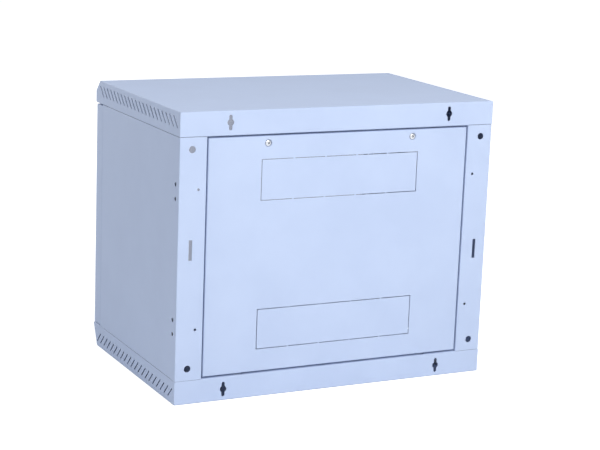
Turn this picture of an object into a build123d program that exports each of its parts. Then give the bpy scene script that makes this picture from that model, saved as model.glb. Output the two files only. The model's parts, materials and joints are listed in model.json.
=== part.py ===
from build123d import *

import os

# Wall mount network cabinet for 19 inch equipment, in millimetres.
# X runs to the right as seen from the front, Y to the rear, Z up. The origin is the centre of the base.

# Overall size
WIDTH = 600.0
DEPTH = 400.0
HEIGHT = 500.0

# Sheet steel of the shell
SHEET = 1.2
BEND = 1.7  # outer radius of a bend
FOLD = BEND - SHEET  # inner radius of a bend
FIT = 0.05  # radial clearance of a screw or pin in its own hole
SEAT = 0.3  # gap that keeps a moving piece off its seat
CUT = 4.0  # how far a cut runs to either side of the skin that it pierces
SMALL_SIDES = 12  # sides of a small hole or shank, few because they repeat so often
ROUND_SIDES = 24  # sides of a larger round on which nothing turns

# Top cover and bottom tray
CAP_HEIGHT = 42.0
COVER_CHAMFER = 20.0
TRAY_SLOPE = 20.0
CAP_LIP = 20.0

# Slanted vent slots in the side flanges of the cover and the tray
VENT_COUNT = 21
VENT_PITCH = 17.5
VENT_LENGTH = 26.0
VENT_WIDTH = 3.0
VENT_ANGLE = 45.0
VENT_SHIFT = 5.0  # how far the row's middle lies behind the middle of the depth
VENT_RISE = 18.5  # centre line of the row, from the cabinet's base or top

# Double keyholes in the rear flanges of the cover and the tray
KEYHOLE_INSET = 90.0  # from the side faces
KEYHOLE_RISE = 20.0
KEYHOLE_RADIUS = 6.0
KEYHOLE_SLOT = 6.0
KEYHOLE_LENGTH = 26.0

# Side panels
POST_WIDTH = 49.0
REBATE = 12.0  # how deep the rear panel sits in its opening
SEAT_LIP = 14.0
JAMB_WIDTH = 42.0
JAMB_RETURN = 15.0
SIDE_LIP = 22.0
SIDE_LIP_START = 22.0  # distance of the seam lip behind the jamb
SIDE_LIP_END = 18.0  # distance of the seam lip from the rear face
LIP_LEG = 8.0
WALL_HOLE_RADIUS = 6.0
WALL_HOLE_INSET = 22.5
WALL_HOLE_DROP = 62.5  # from the cabinet's base or top, as for every drop below
SMALL_HOLE_RADIUS = 2.4
SMALL_HOLE_INSET = 35.0
SMALL_HOLE_DROP = 130.0
POST_SLOT_LENGTH = 35.0
POST_SLOT_WIDTH = 6.0
POST_SLOT_INSET = 23.0
POST_SLOT_RISE = 17.5  # how far the slot's centre lies from mid height
SIDE_HOLE_RADIUS = 3.8
SIDE_HOLE_INSET = 15.0
SIDE_HOLE_DROP = 122.0
SIDE_HOLE_PITCH = 24.5

# Rear panel
REAR_GAP = 2.6
REAR_GAP_ENDS = 3.2
REAR_SINK = 0.8
REAR_BEND = 2.0
KNOCKOUT_WIDTH = 300.0
KNOCKOUT_HEIGHT = 70.0
KNOCKOUT_DROP = 120.0
KNOCKOUT_SLIT = 1.3
KNOCKOUT_BRIDGE = 3.0
KNOCKOUT_BRIDGE_PITCH = 60.0
KNOCKOUT_BRIDGES = 4
REAR_SCREW_SPACING = 278.0
REAR_SCREW_DROP = 57.7
REAR_SCREW_RADIUS = 2.0
REAR_SCREW_HEAD = 5.2
REAR_SCREW_HEAD_HEIGHT = 1.6
REAR_SCREW_REACH = 1.2  # thread beyond the flange that it bites in
DIMPLE_RADIUS = 6.8
DIMPLE_DEPTH = 1.8
DIMPLE_FLOOR = 5.6
SCREW_FLANGE = 24.0
TRAY_STOP = 14.0
FLANGE_PLAY = 1.0  # between the flanges behind the rear panel and the side panels' lips
HOOK_SPACING = 360.0
HOOK_WIDTH = 14.0
HOOK_REACH = 10.0
HOOK_INSET = 1.5
HOOK_SLOT_PLAY = 1.2
HOOK_SLOT_DEPTH = 7.0  # from the hook's front to the slot's rear end

# Equipment rails, to the 19 inch standard
UNITS = 9
UNIT_HEIGHT = 44.45
UNIT_HOLES = (6.35, 22.225, 38.1)
RAIL_INSET = 75.0  # from the side faces to the opening, which leaves the standard 450 mm
RAIL_HOLE_INSET = 7.55  # from the opening to the middle of the holes
RAIL_HOLE = 9.5
RAIL_SHEET = 2.0
RAIL_FACE = 34.0
RAIL_WEB = 25.0
RAIL_MARGIN = 6.0  # rail beyond the last unit at each end
RAIL_SETBACK = 50.0  # the rails' faces behind the jamb

# Depth rails, which carry the equipment rails
DEPTH_SHEET = 1.5
DEPTH_WEB = 40.0
DEPTH_FOOT = 14.0
DEPTH_START = 20.0  # distance behind the jamb
DEPTH_END = 20.0  # distance from the rear face
DEPTH_SLOTS = 5
DEPTH_SLOT_LENGTH = 42.0
DEPTH_SLOT_WIDTH = 7.0
DEPTH_SLOT_PITCH = 52.0

# Bolts and nuts of the equipment rails
RAIL_BOLT_RADIUS = 3.0
RAIL_BOLT_HEAD = 10.0  # across flats
RAIL_BOLT_HEAD_HEIGHT = 4.0
RAIL_BOLT_HOLE_PLAY = 0.3
RAIL_NUT_HEIGHT = 5.0
RAIL_BOLT_TIP = 3.0

# Door frame and glass
DOOR_DEPTH = 31.5
DOOR_SIDE_GAP = 1.0
DOOR_LOW_GAP = 1.5
DOOR_HIGH_GAP = 2.5
DOOR_BACK_GAP = 1.4
DOOR_LOCK_STILE = 50.0
DOOR_HINGE_STILE = 38.0
DOOR_RAIL = 25.0
DOOR_LIP = 10.0
WINDOW_CORNER = 8.0
GLASS_THICKNESS = 4.0
GLASS_OVERLAP = 11.0
TAPE_THICKNESS = 1.0
TAPE_WIDTH = 10.0

# Hinge
HINGE_INSET = 9.0  # axis from the side face
HINGE_DEPTH = 8.0  # axis behind the door's front face
PIN_RADIUS = 3.0
PIVOT_SHOULDER = 6.0
PIVOT_TOP = 10.0
RIVET_RADIUS = 4.5
RIVET_HEIGHT = 1.5
PIN_ENGAGEMENT = 7.0
PIN_COLLAR_RADIUS = 4.6
PIN_COLLAR_HEIGHT = 3.0
PIN_HANDLE_RADIUS = 2.5
PIN_HANDLE_LENGTH = 16.0
PIN_TAIL = 9.0
BRACKET_SHEET = 1.5
BRACKET_DROP = 24.0
BRACKET_HEIGHT = 34.0
BRACKET_REACH = 14.0
BRACKET_HALF = 6.4
SPRING_WIRE = 0.9
SPRING_RADIUS = 4.0  # centre line of the wire
SPRING_TURNS = 5
SPRING_STEPS = 12  # straight steps in a turn

# Lock
LOCK_INSET = 22.0
LOCK_BEZEL_RADIUS = 11.0
LOCK_BEZEL = 1.5
LOCK_BARREL_RADIUS = 8.0
LOCK_PLUG_RADIUS = 5.5
LOCK_NUT = 22.0  # across flats
LOCK_NUT_HEIGHT = 4.0
KEYWAY_WIDTH = 2.0
KEYWAY_HEIGHT = 8.0
KEYWAY_DEPTH = 10.0
CAM_LENGTH = 19.0
CAM_WIDTH = 14.0
CAM_THICKNESS = 2.0
CAM_CORNER = 3.0
CAM_GAP = 1.1  # between the locked cam and the jamb
CAM_SQUARE = 7.0
CAM_STUD_RADIUS = 2.5
CAM_STUD_TIP = 1.0
CAM_NUT = 8.0
CAM_NUT_HEIGHT = 3.0
JAMB_SLOT_WIDTH = 20.0
JAMB_SLOT_HEIGHT = 64.0

# Rubber bumpers
BUMPER_WIDTH = 8.0
BUMPER_LENGTH = 30.0
BUMPER_DROP = 80.0

# Earth stud
EARTH_INSET = 50.0  # from the left side face
EARTH_SETBACK = 60.0  # from the rear face
EARTH_RADIUS = 3.0
EARTH_HEIGHT = 18.0
EARTH_NUT = 10.0
EARTH_NUT_HEIGHT = 5.0

# Planes and edges worked out from the sizes above
SIDE = WIDTH / 2
REAR = DEPTH / 2
FRONT = -REAR
MID = HEIGHT / 2
SEAM_LOW = CAP_HEIGHT
SEAM_HIGH = HEIGHT - CAP_HEIGHT
REBATE_FACE = REAR - REBATE
OPENING = SIDE - POST_WIDTH
DOOR_FACE = FRONT + LOCK_BEZEL
DOOR_BACK = DOOR_FACE + DOOR_DEPTH
JAMB_FACE = DOOR_BACK + DOOR_BACK_GAP
DOOR_HALF = SIDE - DOOR_SIDE_GAP
DOOR_LOW = SEAM_LOW + DOOR_LOW_GAP
DOOR_HIGH = SEAM_HIGH - DOOR_HIGH_GAP
WINDOW_LEFT = DOOR_HINGE_STILE - DOOR_HALF
WINDOW_RIGHT = DOOR_HALF - DOOR_LOCK_STILE
WINDOW_LOW = DOOR_LOW + DOOR_RAIL
WINDOW_HIGH = DOOR_HIGH - DOOR_RAIL
HINGE_X = -SIDE + HINGE_INSET
HINGE_Y = DOOR_FACE + HINGE_DEPTH
LOCK_X = SIDE - LOCK_INSET
REAR_HALF = OPENING - REAR_GAP
REAR_LOW = SEAM_LOW + REAR_GAP_ENDS
REAR_HIGH = SEAM_HIGH - REAR_GAP_ENDS
REAR_SKIN = REAR - REAR_SINK
REAR_SCREW_Z = HEIGHT - REAR_SCREW_DROP
HOOK_Y = REBATE_FACE + HOOK_INSET
DIMPLE_SEAT = REAR_SKIN - DIMPLE_DEPTH
FLANGE_HALF = OPENING - SEAT_LIP - FLANGE_PLAY
RAIL_IN = SIDE - RAIL_INSET
RAIL_OUT = RAIL_IN + RAIL_FACE
RAIL_FRONT = JAMB_FACE + RAIL_SETBACK
RAIL_BOLT_Y = RAIL_FRONT + RAIL_WEB / 2
RAIL_HALF = UNITS * UNIT_HEIGHT / 2 + RAIL_MARGIN
DEPTH_DROP = SIDE_HOLE_DROP + SIDE_HOLE_PITCH / 2  # the side holes open into the depth rails' hollows
DEPTH_RAIL_Z = HEIGHT - DEPTH_DROP
WALL_INSIDE = SIDE - SHEET
BRACKET_TOP = DOOR_HIGH - BRACKET_DROP
BRACKET_LOW = BRACKET_TOP - BRACKET_HEIGHT
COLLAR_TOP = BRACKET_TOP - BRACKET_SHEET
SPRING_LOW = BRACKET_LOW + BRACKET_SHEET
SPRING_HIGH = COLLAR_TOP - PIN_COLLAR_HEIGHT
CAM_FRONT = JAMB_FACE + SHEET + CAM_GAP
CAM_BACK = CAM_FRONT + CAM_THICKNESS
EARTH_X = EARTH_INSET - SIDE
EARTH_Y = REAR - EARTH_SETBACK


def along_x(face, start, end):
    """Extrude a face drawn with Y across and Z up."""
    return extrude(Plane.YZ.offset(start) * face, amount=end - start)


def along_y(face, start, end):
    """Extrude a face drawn with X across and Z up."""
    return extrude(Plane.XZ.offset(-start) * face, amount=start - end)


def along_z(face, start, end):
    """Extrude a face drawn with X across and Y up."""
    return extrude(Plane.XY.offset(start) * face, amount=end - start)


def block(x, y, z):
    """A box between two values on each axis."""
    size = Box(x[1] - x[0], y[1] - y[0], z[1] - z[0])
    return Pos((x[0] + x[1]) / 2, (y[0] + y[1]) / 2, (z[0] + z[1]) / 2) * size


def pierce(skin):
    """The range of a cut through the sheet at this place."""
    return skin - CUT, skin + CUT


def small_round(radius):
    return RegularPolygon(radius, SMALL_SIDES)


def plain_round(radius):
    return RegularPolygon(radius, ROUND_SIDES)


def rod_x(radius, start, end, y, z, outline=Circle):
    return along_x(Pos(y, z) * outline(radius), start, end)


def rod_y(radius, start, end, x, z, outline=Circle):
    return along_y(Pos(x, z) * outline(radius), start, end)


def rod_z(radius, start, end, x, y, outline=Circle):
    return along_z(Pos(x, y) * outline(radius), start, end)


def hexagon(across_flats):
    return RegularPolygon(across_flats / 2, 6, major_radius=False)


def nut_face(across_flats, hole_radius, outline):
    return hexagon(across_flats) - outline(hole_radius)


def folded(points, radii, thickness, side=Side.LEFT):
    """Section of a folded sheet: the points run along one skin, the other lies to the given side."""
    line = FilletPolyline(*points, radius=radii)
    return make_face(offset(line, amount=thickness, side=side))


def bent(points, thickness, side):
    """The same with sharp bends, for the hidden sheets inside."""
    line = Polyline(*points)
    return make_face(offset(line, amount=thickness, side=side, kind=Kind.INTERSECTION))


def mirrored_pair(shape):
    """A shape and its mirror image on the other side of the cabinet."""
    return [shape, mirror(shape, Plane.YZ)]


def turned_over(shape):
    """The same part turned by half a turn about the Y axis at mid height."""
    return Pos(0, 0, MID) * Rot(0, 180, 0) * Pos(0, 0, -MID) * shape


def save(name, *solids):
    shape = solids[0] if len(solids) == 1 else Compound(list(solids))
    export_step(shape, os.path.join("parts", name + ".step"))


def cap_pan(outline, seam):
    """A pan for the top or the base: skin, flanges and return lips are bent, the corners welded."""
    face = make_face(Polyline(*outline, close=True))
    outer = along_x(face, -SIDE, SIDE)
    bends = outer.edges().filter_by(Axis.X) + outer.edges().filter_by(Axis.Y)
    outer = fillet(bends, BEND)
    core = offset(face, amount=-SHEET, kind=Kind.INTERSECTION)
    pan = outer - along_x(core, SHEET - SIDE, SIDE - SHEET)
    window_x = (CAP_LIP - SIDE, SIDE - CAP_LIP)
    window_y = (FRONT + CAP_LIP, REBATE_FACE - SHEET)
    return pan - block(window_x, window_y, pierce(seam))


def vents(height, lean):
    """One row of slanted slots, cut through both side flanges at the given height."""
    slot = Rot(0, 0, lean * VENT_ANGLE) * Rectangle(VENT_LENGTH, VENT_WIDTH)
    cutters = []
    for index in range(VENT_COUNT):
        place = VENT_SHIFT + (index - (VENT_COUNT - 1) / 2) * VENT_PITCH
        row = Pos(place, height) * slot
        cutters += mirrored_pair(along_x(row, *pierce(SIDE)))
    return cutters


def keyholes(height):
    """Round holes with a slot above and below, so the cabinet hangs either way up."""
    shape = Circle(KEYHOLE_RADIUS) + SlotOverall(KEYHOLE_LENGTH, KEYHOLE_SLOT, rotation=90)
    hole = Pos(SIDE - KEYHOLE_INSET, height) * shape
    return mirrored_pair(along_y(hole, *pierce(REAR)))


def seat_flange(low, high):
    """A flange welded behind the rear panel's rim, between the lips of the side panels."""
    return block((-FLANGE_HALF, FLANGE_HALF), (REBATE_FACE - SHEET, REBATE_FACE), (low, high))


def top_cover():
    outline = [
        (FRONT, SEAM_HIGH),
        (FRONT, HEIGHT - COVER_CHAMFER),
        (FRONT + COVER_CHAMFER, HEIGHT),
        (REAR, HEIGHT),
        (REAR, SEAM_HIGH),
    ]
    pan = cap_pan(outline, SEAM_HIGH) + seat_flange(SEAM_HIGH - SCREW_FLANGE, SEAM_HIGH + SHEET)
    cutters = vents(HEIGHT - VENT_RISE, -1) + keyholes(HEIGHT - KEYHOLE_RISE)
    cutters.append(rod_z(PIN_RADIUS + FIT, *pierce(SEAM_HIGH), HINGE_X, HINGE_Y))
    screw = (REAR_SCREW_SPACING / 2, REAR_SCREW_Z)
    cutters += mirrored_pair(rod_y(REAR_SCREW_RADIUS + FIT, *pierce(REBATE_FACE), *screw, small_round))
    return pan - cutters


def bottom_tray():
    outline = [
        (FRONT + TRAY_SLOPE, 0),
        (REAR, 0),
        (REAR, SEAM_LOW),
        (FRONT, SEAM_LOW),
    ]
    pan = cap_pan(outline, SEAM_LOW) + seat_flange(SEAM_LOW - SHEET, SEAM_LOW + TRAY_STOP)
    cutters = vents(VENT_RISE, 1) + keyholes(KEYHOLE_RISE)
    cutters.append(rod_z(PIN_RADIUS + FIT, *pierce(SEAM_LOW), HINGE_X, HINGE_Y))
    hook_half = HOOK_WIDTH / 2 + HOOK_SLOT_PLAY
    hook_x = (HOOK_SPACING / 2 - hook_half, HOOK_SPACING / 2 + hook_half)
    hook_y = (HOOK_Y - HOOK_SLOT_PLAY, HOOK_Y + HOOK_SLOT_DEPTH)
    cutters += mirrored_pair(block(hook_x, hook_y, pierce(SEAM_LOW)))
    return pan - cutters


def side_lip():
    """The return lip that meets the cover, folded from the side wall."""
    section = folded(
        [(SIDE, SEAM_HIGH - LIP_LEG), (SIDE, SEAM_HIGH), (SIDE - SIDE_LIP, SEAM_HIGH)], BEND, SHEET
    )
    return along_y(section, JAMB_FACE + SIDE_LIP_START, REAR - SIDE_LIP_END)


def side_panel():
    """The panel on the right. Turned over, it serves on the left as well."""
    jamb = SIDE - JAMB_WIDTH
    points = [
        (jamb, JAMB_FACE + JAMB_RETURN),
        (jamb, JAMB_FACE),
        (SIDE, JAMB_FACE),
        (SIDE, REAR),
        (OPENING, REAR),
        (OPENING, REBATE_FACE),
        (OPENING - SEAT_LIP, REBATE_FACE),
    ]
    wall = along_z(folded(points, [BEND, BEND, BEND, BEND, FOLD], SHEET), SEAM_LOW, SEAM_HIGH)
    lip_y = (JAMB_FACE + SIDE_LIP_START, REAR - SIDE_LIP_END)
    notch = block((SIDE - BEND, SIDE + CUT), lip_y, (SEAM_HIGH - BEND, SEAM_HIGH + CUT))
    upper = side_lip()
    lower = mirror(upper, Plane.XY.offset(MID))
    wall = wall - [notch, mirror(notch, Plane.XY.offset(MID))]
    wall = wall + [upper, lower]
    cutters = []
    for z in (WALL_HOLE_DROP, HEIGHT - WALL_HOLE_DROP):
        cutters.append(rod_y(WALL_HOLE_RADIUS, *pierce(REAR), SIDE - WALL_HOLE_INSET, z))
    for z in (SMALL_HOLE_DROP, HEIGHT - SMALL_HOLE_DROP):
        cutters.append(rod_y(SMALL_HOLE_RADIUS, *pierce(REAR), SIDE - SMALL_HOLE_INSET, z, small_round))
    for drop in (SIDE_HOLE_DROP, SIDE_HOLE_DROP + SIDE_HOLE_PITCH):
        for z in (drop, HEIGHT - drop):
            cutters.append(rod_x(SIDE_HOLE_RADIUS, *pierce(SIDE), REAR - SIDE_HOLE_INSET, z, small_round))
    slot = Rectangle(POST_SLOT_WIDTH, POST_SLOT_LENGTH)
    place = Pos(SIDE - POST_SLOT_INSET, MID + POST_SLOT_RISE)
    cutters.append(along_y(place * slot, *pierce(REAR)))
    lock_slot = Rectangle(JAMB_SLOT_WIDTH, JAMB_SLOT_HEIGHT)
    cutters.append(along_y(Pos(LOCK_X, MID) * lock_slot, *pierce(JAMB_FACE)))
    return wall - cutters


def knockout_slits(height):
    """The cut line round a knock-out, left whole at the bridges."""
    outer = Rectangle(KNOCKOUT_WIDTH + KNOCKOUT_SLIT, KNOCKOUT_HEIGHT + KNOCKOUT_SLIT)
    inner = Rectangle(KNOCKOUT_WIDTH - KNOCKOUT_SLIT, KNOCKOUT_HEIGHT - KNOCKOUT_SLIT)
    slit = outer - inner
    for index in range(KNOCKOUT_BRIDGES):
        place = (index - (KNOCKOUT_BRIDGES - 1) / 2) * KNOCKOUT_BRIDGE_PITCH
        slit = slit - Pos(place, 0) * Rectangle(KNOCKOUT_BRIDGE, 2 * KNOCKOUT_HEIGHT)
    return along_y(Pos(0, height) * slit, *pierce(REAR_SKIN))


def dish(x, shift):
    """The tapered hollow of a screw's seat, moved along Y by the given shift."""
    floor = Plane.XZ.offset(-DIMPLE_SEAT - shift) * Pos(x, REAR_SCREW_Z) * plain_round(DIMPLE_FLOOR)
    rim = Plane.XZ.offset(-REAR_SKIN - shift) * Pos(x, REAR_SCREW_Z) * plain_round(DIMPLE_RADIUS)
    return loft([floor, rim], ruled=True)


def dimple(x):
    """The dished seat of a screw, pressed into the rear panel."""
    rim = rod_y(DIMPLE_RADIUS, REAR_SKIN - SHEET, REAR_SKIN, x, REAR_SCREW_Z, plain_round)
    hole = rod_y(REAR_SCREW_RADIUS + FIT, *pierce(DIMPLE_SEAT), x, REAR_SCREW_Z, small_round)
    return dish(x, -SHEET) + rim - dish(x, 0) - hole


def rear_panel():
    outer = block((-REAR_HALF, REAR_HALF), (REBATE_FACE, REAR_SKIN), (REAR_LOW, REAR_HIGH))
    outer = fillet(outer.faces().sort_by(Axis.Y)[-1].edges(), REAR_BEND)
    core_x = (SHEET - REAR_HALF, REAR_HALF - SHEET)
    core = block(core_x, (REBATE_FACE - SHEET, REAR_SKIN - SHEET), (REAR_LOW + SHEET, REAR_HIGH - SHEET))
    panel = outer - core
    for x in (-REAR_SCREW_SPACING / 2, REAR_SCREW_SPACING / 2):
        panel = panel - rod_y(DIMPLE_RADIUS, *pierce(REAR_SKIN), x, REAR_SCREW_Z, plain_round)
        panel = panel + dimple(x)
    panel = panel - [knockout_slits(height) for height in (KNOCKOUT_DROP, HEIGHT - KNOCKOUT_DROP)]
    hook_x = ((HOOK_SPACING - HOOK_WIDTH) / 2, (HOOK_SPACING + HOOK_WIDTH) / 2)
    hook = block(hook_x, (HOOK_Y, HOOK_Y + SHEET), (REAR_LOW - HOOK_REACH, REAR_LOW + SHEET))
    return panel + mirrored_pair(hook)


def rear_panel_screws():
    head = (DIMPLE_SEAT, DIMPLE_SEAT + REAR_SCREW_HEAD_HEIGHT)
    tip = REBATE_FACE - SHEET - REAR_SCREW_REACH
    x = REAR_SCREW_SPACING / 2
    shank = rod_y(REAR_SCREW_RADIUS, tip, DIMPLE_SEAT, x, REAR_SCREW_Z, small_round)
    return mirrored_pair(rod_y(REAR_SCREW_HEAD, *head, x, REAR_SCREW_Z, small_round) + shank)


def mounting_rail():
    """The front rail on the right, with the standard square holes."""
    points = [(RAIL_IN, RAIL_FRONT), (RAIL_OUT, RAIL_FRONT), (RAIL_OUT, RAIL_FRONT + RAIL_WEB)]
    section = folded(points, RAIL_SHEET + FOLD, RAIL_SHEET)
    rail = along_z(section, MID - RAIL_HALF, MID + RAIL_HALF)
    holes = []
    base = MID - UNITS * UNIT_HEIGHT / 2
    for unit in range(UNITS):
        for height in UNIT_HOLES:
            place = Pos(RAIL_IN + RAIL_HOLE_INSET, base + unit * UNIT_HEIGHT + height)
            holes.append(along_y(place * Rectangle(RAIL_HOLE, RAIL_HOLE), *pierce(RAIL_FRONT)))
    for z in (DEPTH_DROP, DEPTH_RAIL_Z):
        radius = RAIL_BOLT_RADIUS + RAIL_BOLT_HOLE_PLAY
        holes.append(rod_x(radius, *pierce(RAIL_OUT), RAIL_BOLT_Y, z, small_round))
    return rail - holes


def depth_rail():
    """The upper rail on the right: a hat section on the side wall, slotted so that the rails can move."""
    foot = WALL_INSIDE - DEPTH_SHEET
    web = DEPTH_WEB / 2
    reach = web + DEPTH_FOOT
    points = [(foot, -reach), (foot, -web), (RAIL_OUT, -web), (RAIL_OUT, web), (foot, web), (foot, reach)]
    section = bent(points, DEPTH_SHEET, Side.RIGHT)
    rail = along_y(Pos(0, DEPTH_RAIL_Z) * section, JAMB_FACE + DEPTH_START, REAR - DEPTH_END)
    slots = []
    for index in range(DEPTH_SLOTS):
        place = RAIL_BOLT_Y + index * DEPTH_SLOT_PITCH
        slot = Pos(place, DEPTH_RAIL_Z) * Rectangle(DEPTH_SLOT_LENGTH, DEPTH_SLOT_WIDTH)
        slots.append(along_x(slot, *pierce(RAIL_OUT)))
    return rail - slots


def four_corners(shape):
    """A shape at the upper right, repeated below and on the left."""
    return mirrored_pair(shape) + mirrored_pair(mirror(shape, Plane.XY.offset(MID)))


def rail_bolts():
    seat = RAIL_OUT + DEPTH_SHEET
    tip = RAIL_OUT - RAIL_SHEET - RAIL_NUT_HEIGHT - RAIL_BOLT_TIP
    head = Pos(RAIL_BOLT_Y, DEPTH_RAIL_Z) * hexagon(RAIL_BOLT_HEAD)
    shank = rod_x(RAIL_BOLT_RADIUS, tip, seat, RAIL_BOLT_Y, DEPTH_RAIL_Z, small_round)
    return four_corners(along_x(head, seat, seat + RAIL_BOLT_HEAD_HEIGHT) + shank)


def rail_nuts():
    seat = RAIL_OUT - RAIL_SHEET
    face = Pos(RAIL_BOLT_Y, DEPTH_RAIL_Z) * nut_face(RAIL_BOLT_HEAD, RAIL_BOLT_RADIUS + FIT, small_round)
    return four_corners(along_x(face, seat - RAIL_NUT_HEIGHT, seat))


def window_face(margin):
    """The window of the door, widened on all sides by a margin."""
    width = WINDOW_RIGHT - WINDOW_LEFT + 2 * margin
    height = WINDOW_HIGH - WINDOW_LOW + 2 * margin
    return Pos((WINDOW_LEFT + WINDOW_RIGHT) / 2, (WINDOW_LOW + WINDOW_HIGH) / 2) * Rectangle(width, height)


def door_frame():
    outer = block((-DOOR_HALF, DOOR_HALF), (DOOR_FACE, DOOR_BACK), (DOOR_LOW, DOOR_HIGH))
    outer = fillet(outer.edges().filter_by(Axis.X) + outer.edges().filter_by(Axis.Z), BEND)
    core_x = (SHEET - DOOR_HALF, DOOR_HALF - SHEET)
    core = block(core_x, (DOOR_FACE + SHEET, DOOR_BACK - SHEET), (DOOR_LOW + SHEET, DOOR_HIGH - SHEET))
    back_x = (DOOR_LIP - DOOR_HALF, DOOR_HALF - DOOR_LIP)
    back = block(back_x, pierce(DOOR_BACK), (DOOR_LOW + DOOR_LIP, DOOR_HIGH - DOOR_LIP))
    window = fillet(window_face(0).vertices(), WINDOW_CORNER)
    cutters = [core, back, along_y(window, *pierce(DOOR_FACE))]
    cutters.append(rod_y(LOCK_BARREL_RADIUS + FIT, *pierce(DOOR_FACE), LOCK_X, MID))
    for end in (DOOR_LOW, DOOR_HIGH):
        cutters.append(rod_z(PIN_RADIUS + FIT, *pierce(end), HINGE_X, HINGE_Y))
    return outer - cutters


def glass_tape():
    """Mounting tape between the frame and the glass, as a closed border."""
    start = DOOR_FACE + SHEET
    border = window_face(GLASS_OVERLAP) - window_face(GLASS_OVERLAP - TAPE_WIDTH)
    return along_y(border, start, start + TAPE_THICKNESS)


def door_glass():
    start = DOOR_FACE + SHEET + TAPE_THICKNESS
    return along_y(window_face(GLASS_OVERLAP), start, start + GLASS_THICKNESS)


def hinge_pivot_lower():
    """A shouldered pin, riveted into the tray's lip, that carries the door."""
    rivet_top = SEAM_LOW - SHEET
    rivet = rod_z(RIVET_RADIUS, rivet_top - RIVET_HEIGHT, rivet_top, HINGE_X, HINGE_Y, small_round)
    neck = rod_z(PIN_RADIUS, rivet_top, SEAM_LOW, HINGE_X, HINGE_Y, small_round)
    shoulder = rod_z(PIVOT_SHOULDER, SEAM_LOW, DOOR_LOW - SEAT, HINGE_X, HINGE_Y, small_round)
    pin = rod_z(PIN_RADIUS, DOOR_LOW - SEAT, DOOR_LOW + PIVOT_TOP, HINGE_X, HINGE_Y)
    return rivet + neck + shoulder + pin


def hinge_bracket():
    """A channel on the inside of the door's edge that guides the upper pin."""
    back = SHEET - DOOR_HALF
    reach = back + BRACKET_REACH
    points = [(reach, BRACKET_LOW), (back, BRACKET_LOW), (back, BRACKET_TOP), (reach, BRACKET_TOP)]
    section = bent(points, BRACKET_SHEET, Side.RIGHT)
    bracket = along_y(section, HINGE_Y - BRACKET_HALF, HINGE_Y + BRACKET_HALF)
    return bracket - rod_z(PIN_RADIUS + FIT, BRACKET_LOW - CUT, BRACKET_TOP + CUT, HINGE_X, HINGE_Y)


def hinge_pin_upper():
    """The sprung pin: a rod with a collar, bent at its foot into a pull handle."""
    foot = BRACKET_LOW - PIN_TAIL
    pin = rod_z(PIN_RADIUS, foot, SEAM_HIGH + PIN_ENGAGEMENT, HINGE_X, HINGE_Y)
    pin = pin + rod_z(PIN_COLLAR_RADIUS, SPRING_HIGH, COLLAR_TOP, HINGE_X, HINGE_Y, small_round)
    handle_x = (HINGE_X, HINGE_X + PIN_HANDLE_LENGTH)
    return pin + rod_x(PIN_HANDLE_RADIUS, *handle_x, HINGE_Y, foot + PIN_HANDLE_RADIUS, small_round)


def hinge_spring():
    """A compression spring between the bracket's lower ear and the pin's collar."""
    rise = SPRING_HIGH - SPRING_LOW - SPRING_WIRE
    steps = SPRING_TURNS * SPRING_STEPS
    points = []
    for step in range(steps + 1):
        corner = Vector(SPRING_RADIUS, 0, rise * step / steps).rotate(Axis.Z, 360 * step / SPRING_STEPS)
        points.append(corner)
    path = Polyline(*points)
    section = Plane(origin=points[0], x_dir=(0, 0, 1), z_dir=path % 0) * Rectangle(SPRING_WIRE, SPRING_WIRE)
    wire = sweep(section, path=path, transition=Transition.RIGHT)
    return Pos(HINGE_X, HINGE_Y, SPRING_LOW + SPRING_WIRE / 2) * wire


def lock_body():
    barrel = rod_y(LOCK_BARREL_RADIUS, FRONT, CAM_FRONT - SEAT, LOCK_X, MID, plain_round)
    bezel = rod_y(LOCK_BEZEL_RADIUS, FRONT, DOOR_FACE, LOCK_X, MID, plain_round)
    return barrel + bezel - rod_y(LOCK_PLUG_RADIUS + FIT, FRONT - CUT, CAM_FRONT, LOCK_X, MID)


def lock_nut():
    face = Pos(LOCK_X, MID) * nut_face(LOCK_NUT, LOCK_BARREL_RADIUS + FIT, plain_round)
    return along_y(face, DOOR_FACE + SHEET, DOOR_FACE + SHEET + LOCK_NUT_HEIGHT)


def lock_plug():
    """The turning core, with its keyway at the front and a square that drives the cam."""
    core = rod_y(LOCK_PLUG_RADIUS, FRONT, CAM_FRONT, LOCK_X, MID)
    square = along_y(Pos(LOCK_X, MID) * Rectangle(CAM_SQUARE, CAM_SQUARE), CAM_FRONT, CAM_BACK)
    stud_end = CAM_BACK + CAM_NUT_HEIGHT + CAM_STUD_TIP
    stud = rod_y(CAM_STUD_RADIUS, CAM_BACK, stud_end, LOCK_X, MID, small_round)
    keyway = along_y(Pos(LOCK_X, MID) * Rectangle(KEYWAY_WIDTH, KEYWAY_HEIGHT), FRONT, FRONT + KEYWAY_DEPTH)
    return core + square + stud - keyway


def lock_cam():
    """The arm that turns behind the jamb. It points up while the door is unlocked."""
    length = CAM_LENGTH + CAM_WIDTH / 2
    plate = Pos(0, (CAM_LENGTH - CAM_WIDTH / 2) / 2) * Rectangle(CAM_WIDTH, length)
    plate = chamfer(plate.vertices(), CAM_CORNER)
    face = plate - Rectangle(CAM_SQUARE + 2 * FIT, CAM_SQUARE + 2 * FIT)
    return along_y(Pos(LOCK_X, MID) * face, CAM_FRONT, CAM_BACK)


def lock_cam_nut():
    face = Pos(LOCK_X, MID) * nut_face(CAM_NUT, CAM_STUD_RADIUS + FIT, small_round)
    return along_y(face, CAM_BACK, CAM_BACK + CAM_NUT_HEIGHT)


def door_bumpers():
    """Rubber pads on the jamb, on the side of the lock."""
    x = DOOR_HALF - DOOR_LIP / 2
    pads = []
    for z in (BUMPER_DROP, HEIGHT - BUMPER_DROP):
        pad = Pos(x, z) * Rectangle(BUMPER_WIDTH, BUMPER_LENGTH)
        pads.append(along_y(pad, DOOR_BACK + SEAT, JAMB_FACE))
    return pads


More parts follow.
